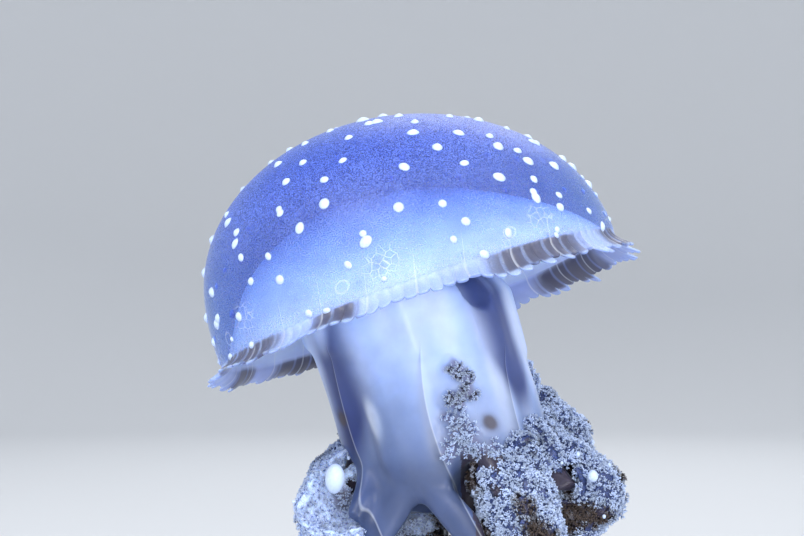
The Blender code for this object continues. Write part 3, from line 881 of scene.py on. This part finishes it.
def mark_skin(skin, facts):
    """Writes what the skin's material needs at each point."""
    part, s, azimuth, depth = facts.T
    points = points_of(skin)
    bell, stalk, frill = (part == kind for kind in (BELL, STALK, FRILL))
    outside, inside = bell & (depth < 0.5), bell & (depth >= 0.5)
    local = unswayed(points)
    turn, radius, below = turn_of(local), np.hypot(local[:, 0], local[:, 1]), -local[:, 2]

    soft = 1 - np.array(COARSENESS)[nearest_arm(turn)]
    low = ramp(*LOW_BELL, s)
    margin = ramp(*MARGIN, s)
    pale = [0.04 + 0.48 * low + 0.3 * margin, ramp(*VAULT_PALE, s) - 0.5 * margin, 0.9]
    solid = [0.46 - 0.26 * low + 0.34 * margin, 0.25 + 0.7 * ramp(*VAULT_SOLID, s) - 0.3 * margin, 0.92]
    # painted shade: the stalk's left and right sides, as seen from the front, are darkened just under the
    # bell
    sides = band(np.abs(np.cos(turn)), SIDE_SHADE_SIDES)
    side_shade_edge = SIDE_SHADE_SLANT * np.cos(turn) + SIDE_SHADE_WANDER * waves(local * (1, 1, 0.2), SIDE_SHADE_WAVE, 23)
    # painted shade: the stalk is darkened where it lies in among the frills, below their tops
    hidden = (1 - bareness(turn)) * ramp(0, 12 * MM, below_frill_top(local))
    # the frill flesh is dark in the clefts between its heaps: partly its own brown, partly painted shade
    clefts = 0.8 * (1 - ramp(0.15, 0.5, s))
    across = around(turn, radians(STAINS[0]), tau / 4)
    stain = np.hypot(across * radius, below - STAINS[1]) / STAINS[2]
    across = around(turn, radians(MILKY[0]), pi)
    milky = np.hypot(across * radius / MILKY[2], (below - MILKY[1]) / MILKY[3])
    shown = np.maximum(ramp(5 * MM, 40 * MM, below), 0.01)
    # painted highlight: the distance to a thin pale line along each arm's edge, where it catches the light
    highlight_edge = from_clefts(turn + HIGHLIGHT_LEAN * np.sin(below / HIGHLIGHT_WAVE)) * radius / shown
    stained = 0.75 * np.exp(-stain ** 2) + 0.5 * np.exp(-(3 * stain) ** 2)
    # brown holds real patches, stains and lumps, and also the painted shade of hidden and clefts
    brown = [brown_patches(azimuth, s), np.maximum(stained, hidden), np.maximum(clefts, brownness(points))]
    place = azimuth / tau * LAPPETS
    ray = np.abs(around(place, 0, RAY_EVERY)) * tau * BELL_RADIUS / LAPPETS
    strong = band(s, RAY_BAND)

    marks = {
        "pale": np.select([outside, inside, stalk], pale, 0.5 + 1.2 * soft),
        "solid": np.select([outside, inside, stalk], solid, 1.0),
        "side_shade": 0.9 * stalk * sides * band(below + side_shade_edge, SIDE_SHADE_BAND),
        "smoky": 0.95 * stalk * ramp(*SMOKY_DEPTHS, below),
        # painted shade: the frill flesh under the tufts is darkened, less on the heaps and on the soft arms
        "under": frill * np.clip(1 - 0.1 * s - 2.6 * soft, 0, 1),
        "brown": np.select([bell, stalk, frill], brown),
        "fringe": np.where(stalk, fringed(local), 0.0),
        # distance to the painted highlight lines, also used for the painted fold shade
        "highlight_edge": np.where(stalk, highlight_edge, 1.0),
        "milky": stalk * np.exp(-milky ** 2),
        "streak": np.where(stalk, waves(local * STREAK_STRETCH, STREAK_SIZE, 17), 0.0),
        "stripe": np.cos(pi * place),
        "ray": np.where(bell & (strong > 0), ray / np.maximum(strong, 0.01), 1.0),
        "grainy": np.where(outside, 1 - 0.85 * ramp(*GRAIN_FADE, s), 0.5 * frill),
        "ring": np.where(outside, eighths(azimuth, s, RING_MARKS), 1.0),
        "net": outside * (1 - ramp(*NET_EDGE, eighths(azimuth, s, NETS))),
    }
    for name, values in marks.items():
        store(skin, name, values)


# ---- Materials ----

class Nodes:
    """A short hand for building one material's node tree."""

    def __init__(self, name):
        self.material = bpy.data.materials.new(name)
        self.material.use_nodes = True
        self.tree = self.material.node_tree
        self.tree.nodes.clear()
        self.output = self.tree.nodes.new("ShaderNodeOutputMaterial")

    def add(self, kind, settings={}, numbered={}, out=0, **named):
        """One output of a new node with these settings and inputs."""
        node = self.tree.nodes.new("ShaderNode" + kind)
        for key, value in settings.items():
            setattr(node, key, value)
        for key, value in {**numbered, **named}.items():
            self.feed(node.inputs[key.replace("_", " ") if key in named else key], value)
        return node.outputs[out]

    def feed(self, socket, value):
        if isinstance(value, bpy.types.NodeSocket):
            self.tree.links.new(value, socket)
        else:
            socket.default_value = (*value, 1) if socket.type == "RGBA" else value

    def mark(self, name):
        """What store() wrote at each point under this name."""
        return self.add("Attribute", {"attribute_name": name}, out="Fac")

    def place(self):
        return self.add("TexCoord", out="Object")

    def math(self, operation, a, b=0.0, clamp=False):
        return self.add("Math", {"operation": operation, "use_clamp": clamp}, {0: a, 1: b})

    def mix(self, factor, a, b, blend="MIX"):
        return self.add("Mix", {"data_type": "RGBA", "blend_type": blend}, {0: factor, 6: a, 7: b}, out=2)

    def times(self, colour, value):
        """A colour multiplied by a number."""
        return self.mix(1.0, colour, self.grey(value), "MULTIPLY")

    def ramp(self, value, low, high, to_low=0.0, to_high=1.0):
        inputs = dict(enumerate((value, low, high, to_low, to_high)))
        return self.add("MapRange", {"interpolation_type": "SMOOTHSTEP"}, inputs)

    def grey(self, value):
        return self.add("CombineColor", Red=value, Green=value, Blue=value)

    def noise(self, scale, detail):
        return self.add("TexNoise", Vector=self.place(), Scale=scale, Detail=detail)

    def bump(self, height, distance, strength=1.0):
        return self.add("Bump", Height=height, Distance=distance, Strength=strength)

    def blend(self, share, first, second):
        """A shader between two others."""
        return self.add("MixShader", {}, {0: share, 1: first, 2: second})

    def finished(self, surface):
        self.feed(self.output.inputs["Surface"], surface)
        return self.material


COBALT = (0.046, 0.100, 0.54)
PALE = (0.65, 0.76, 1.0)
SPECK = (0.16, 0.26, 0.80)  # the fine grain of the bell
# painted shade on the stalk's sides under the bell
SIDE_SHADE = (0.010, 0.025, 0.15)
SMOKE = (0.045, 0.070, 0.17)  # the lower arms
FRINGE = (0.16, 0.17, 0.30)
# real brown, also used for painted shade among the frills and in their clefts
BROWN_AND_SHADE = (0.045, 0.032, 0.045)
WHITE = (0.85, 0.91, 1.0)
ABSORBED = (20.0, 13.0, 2.2)  # how strongly jelly takes red, green and blue, per metre
MOST_ABSORBED = 24.0
FRILL_ROOT = (0.13, 0.21, 0.55)
FRILL_TIP = (0.64, 0.76, 1.0)
# painted shade of the frill flesh in the gaps under the tufts
FRILL_FLESH_SHADE = (0.020, 0.030, 0.085)
STREAK = (0.72, 0.82, 1.0)
BROWN_ROOT = (0.025, 0.018, 0.015)
BROWN_TIP = (0.13, 0.10, 0.09)
CLEFT_SHADE = 0.08
GRAIN_SIZE = 0.62 * MM
NET_SIZE = 4.0 * MM
RING_RADIUS = 3.0 * MM
LINE_HALF = 0.28 * MM
FOLD_SHADE_WIDTH = 7.0 * MM
SCATTER = 5.0 * MM
GRAIN_RELIEF = 0.4 * MM
SPOT_DARK = (0.46, 0.57, 0.83)
SPOT_LIGHT = (0.62, 0.74, 0.98)
SPOT_RELIEF = 0.3 * MM
STAGE = (0.62, 0.64, 0.67)


def skin_material():
    """Clear jelly: a film that shows through, over a body that takes red and green out of the light."""
    n = Nodes("jellyfish_skin")
    grain = n.noise(1 / GRAIN_SIZE, 1.5)
    mottle = n.noise(55.0, 4.0)
    brown = n.ramp(n.math("ADD", n.mark("brown"), n.math("MULTIPLY", mottle, 0.9)), 0.75, 1.3)
    brown = n.math("MULTIPLY", brown, n.ramp(n.mark("stripe"), -1.0, -0.75, 0.5, 1.0))
    brown = n.math("MULTIPLY", brown, n.ramp(n.mark("brown"), 0.0, 1.0, 0.0, 0.88))
    colour = COBALT
    # pale and smoky are the jelly's own tones; the last mix is painted shade on the stalk's sides
    for mark, tint in (("pale", PALE), ("smoky", SMOKE), ("side_shade", SIDE_SHADE)):
        colour = n.mix(n.mark(mark), colour, tint)
    colour = n.mix(n.ramp(n.mark("milky"), 0.1, 0.8, 0.0, 0.55), colour, WHITE)
    streak = n.mix(n.ramp(n.mark("streak"), -1.2, 1.2), STREAK, (1.08, 1.08, 1.08))
    colour = n.mix(1.0, colour, streak, "MULTIPLY")
    # painted shade on the frill flesh under the tufts
    colour = n.mix(n.mark("under"), colour, FRILL_FLESH_SHADE)
    colour = n.mix(n.ramp(n.mark("fringe"), 0.2, 0.7, 0.0, 0.8), colour, FRINGE)
    speck = n.math("MULTIPLY", n.ramp(grain, 0.42, 0.64), n.mark("grainy"))
    speckle = n.mix(n.mark("grainy"), (1, 1, 1), n.grey(n.ramp(grain, 0.34, 0.66, 0.5, 1.6)))
    colour = n.times(colour, n.ramp(mottle, 0.3, 0.7, 0.9, 1.08))
    colour = n.mix(1.0, colour, speckle, "MULTIPLY")
    colour = n.mix(n.math("MULTIPLY", speck, 0.4), colour, SPECK)
    highlight_edge = n.mark("highlight_edge")
    # painted shade and light: darker before each highlight line, lighter after it, as on a fold of membrane
    before = n.ramp(highlight_edge, -FOLD_SHADE_WIDTH, 0.0, 1.0, 0.72)
    fold_light = n.ramp(highlight_edge, 0.0, FOLD_SHADE_WIDTH, 1.12, 1.0)
    fold_shade = n.mix(n.math("GREATER_THAN", highlight_edge, 0.0), n.grey(before), n.grey(fold_light))
    colour = n.mix(1.0, colour, fold_shade, "MULTIPLY")
    # painted highlight along the arms' edges; the ring marks, rays and canals added below are real pale
    # marks
    lines_and_highlight = n.ramp(n.math("ABSOLUTE", highlight_edge), LINE_HALF * 0.3, LINE_HALF * 2.2, 0.22, 0.0)
    ring = n.math("ABSOLUTE", n.math("SUBTRACT", n.mark("ring"), RING_RADIUS))
    for distance in (ring, n.mark("ray")):
        lines_and_highlight = n.math("MAXIMUM", lines_and_highlight, n.ramp(distance, LINE_HALF * 0.5, LINE_HALF * 3.0, 0.4, 0.0))
    cells = n.add("TexVoronoi", {"feature": "DISTANCE_TO_EDGE"}, Vector=n.place(), Scale=1 / NET_SIZE)
    canals = n.math("MULTIPLY", n.ramp(cells, 0.01, 0.07, 0.55, 0.0), n.mark("net"))
    lines_and_highlight = n.math("MAXIMUM", lines_and_highlight, canals)
    # the brown mark holds real patches, stains and lumps, and also painted shade among the frills and in
    # their clefts
    colour = n.mix(brown, colour, BROWN_AND_SHADE)
    colour = n.mix(lines_and_highlight, colour, WHITE)
    jelly = n.add("BsdfPrincipled", Base_Color=colour, Roughness=0.42, IOR=1.34,
                  Coat_Weight=0.15, Coat_Roughness=0.25, Sheen_Weight=0.4, Sheen_Roughness=0.22,
                  Sheen_Tint=(0.6, 0.75, 1.0), Subsurface_Weight=0.5, Subsurface_Radius=(0.5, 0.7, 1.0),
                  Subsurface_Scale=SCATTER, Normal=n.bump(grain, GRAIN_RELIEF, n.mark("grainy")))
    film = n.math("ADD", n.mark("solid"), n.math("MULTIPLY", speck, 0.3), clamp=True)
    solid = n.math("MAXIMUM", film, n.math("MAXIMUM", lines_and_highlight, brown))
    passed = tuple(1 - taken / MOST_ABSORBED for taken in ABSORBED)
    volume = n.add("VolumeAbsorption", Color=passed, Density=MOST_ABSORBED)
    n.feed(n.output.inputs["Volume"], volume)
    return n.finished(n.blend(solid, n.add("BsdfTransparent"), jelly))


def coat_material():
    """Digits from blue roots to pale tips, darkened by painted shade in the clefts, and brown in lumps."""
    n = Nodes("frill_coat")
    height, rise = n.mark("height"), n.mark("rise")
    white = n.mix(n.ramp(height, 0.15, 0.65), FRILL_ROOT, FRILL_TIP)
    # painted shade in the clefts between heaps
    white = n.times(white, n.ramp(rise, 0.12, 0.5, CLEFT_SHADE, 1.0))
    brown = n.mix(n.ramp(height, 0.3, 1.0), BROWN_ROOT, BROWN_TIP)
    stained = n.math("SUBTRACT", n.math("MULTIPLY", n.mark("brown"), 2.2), height)
    colour = n.mix(n.ramp(stained, 0.0, 0.9), white, brown)
    colour = n.times(colour, n.ramp(n.noise(260.0, 2.0), 0.35, 0.65, 0.8, 1.1))
    flesh = n.add("BsdfPrincipled", Base_Color=colour, Roughness=0.45, IOR=1.36)
    return n.finished(n.blend(0.25, flesh, n.add("BsdfTranslucent", Color=colour)))


def spot_material():
    n = Nodes("white_spot")
    grain = n.noise(900.0, 3.0)
    return n.finished(n.add("BsdfPrincipled", Base_Color=n.mix(grain, SPOT_DARK, SPOT_LIGHT),
                            Roughness=0.35, IOR=1.36, Normal=n.bump(grain, SPOT_RELIEF, 0.5)))


def stand_material(name, colour, roughness, metallic, fineness, relief):
    """Paint or metal with a fine grain and a few paler, worn clouds."""
    n = Nodes(name)
    grain, cloud = n.noise(fineness, 2.0), n.noise(25.0, 4.0)
    tint = n.mix(n.ramp(grain, 0.3, 0.7), tuple(0.82 * c for c in colour), colour)
    tint = n.mix(n.ramp(cloud, 0.5, 0.75, 0.0, 0.35), tint, tuple(1.5 * c ** 0.9 for c in colour))
    return n.finished(n.add("BsdfPrincipled", Base_Color=tint, Metallic=metallic,
                            Roughness=n.ramp(cloud, 0.3, 0.7, roughness - 0.05, roughness + 0.08),
                            Normal=n.bump(grain, relief)))


# ---- Studio ----

def make_stage():
    """A pale bowl: a flat floor that curves up all round into a backdrop."""
    floor_radius, bend, height, sides = 1.6, 0.9, 2.2, 96
    outline = [(0.0, 0.0), (0.6, 0.0), (1.2, 0.0)]
    outline += [(floor_radius + bend * sin(a), bend * (1 - cos(a)))
                for a in np.linspace(0, pi / 2, 24)]
    outline.append((floor_radius + bend, height))
    points = [(r * cos(t), r * sin(t), z) for r, z in outline
              for t in np.arange(sides) / sides * tau]
    stage = mesh_object("stage", np.array(points), [walls(len(outline), sides)[:, ::-1]])
    n = Nodes("stage")
    stage.data.materials.append(n.finished(n.add("BsdfPrincipled", Base_Color=STAGE, Roughness=0.8)))


LIGHTS = {  # place, target, size and power
    "key": ((-0.7, -1.0, 1.5), (0, 0, 0.2), 0.9, 26),
    "fill": ((1.3, -0.8, 0.8), (0, 0, 0.18), 0.9, 13),
    "front": ((0.1, -1.5, 0.12), (0, 0, 0.10), 0.8, 16),
    "back": ((0.2, 1.3, 1.2), (0, 0, 0.2), 1.0, 9),
}
SKY = (0.9, 0.94, 1.0, 1)
SKY_STRENGTH = 0.55
CAMERA_PLACE = (-0.022, -1.117, 0.199)
LENS = 100


def make_studio():
    make_stage()
    for name, (place, target, size, power) in LIGHTS.items():
        lamp = bpy.data.lights.new(name, "AREA")
        lamp.shape, lamp.size, lamp.energy = "DISK", size, power
        light = linked(name, lamp)
        light.location = place
        light.rotation_euler = (Vector(target) - Vector(place)).to_track_quat("-Z", "Y").to_euler()
        light.visible_camera = False
    scene = bpy.context.scene
    scene.world = bpy.data.worlds.new("studio")
    scene.world.use_nodes = True
    sky = scene.world.node_tree.nodes["Background"]
    sky.inputs["Color"].default_value = SKY
    sky.inputs["Strength"].default_value = SKY_STRENGTH
    camera = linked("camera", bpy.data.cameras.new("camera"))
    camera.location = CAMERA_PLACE
    camera.rotation_euler = (pi / 2, 0, 0)
    camera.data.lens = LENS
    scene.camera = camera
    scene.view_settings.view_transform = "Standard"
    scene.cycles.transparent_max_bounces = 24


def main():
    make_studio()
    skin, facts = make_skin()
    mark_skin(skin, facts)
    skin.data.materials.append(skin_material())
    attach(skin, "root")
    nodes = [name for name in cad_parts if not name.startswith(("stand_", "arm_club"))]
    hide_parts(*nodes)
    make_coat(skin, facts, coat_material())
    white = spot_material()
    make_spots(white)
    make_beads(skin, facts, white)
    make_clubs(white)
    painted = stand_material("stand_paint", (0.06, 0.065, 0.075), 0.42, 0.0, 900.0, 0.06 * MM)
    steel = stand_material("stand_steel", (0.62, 0.63, 0.65), 0.3, 1.0, 2500.0, 0.02 * MM)
    for name, finish in (("stand_base", painted), ("stand_rod", steel)):
        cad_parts[name].data.materials.clear()
        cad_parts[name].data.materials.append(finish)


main()
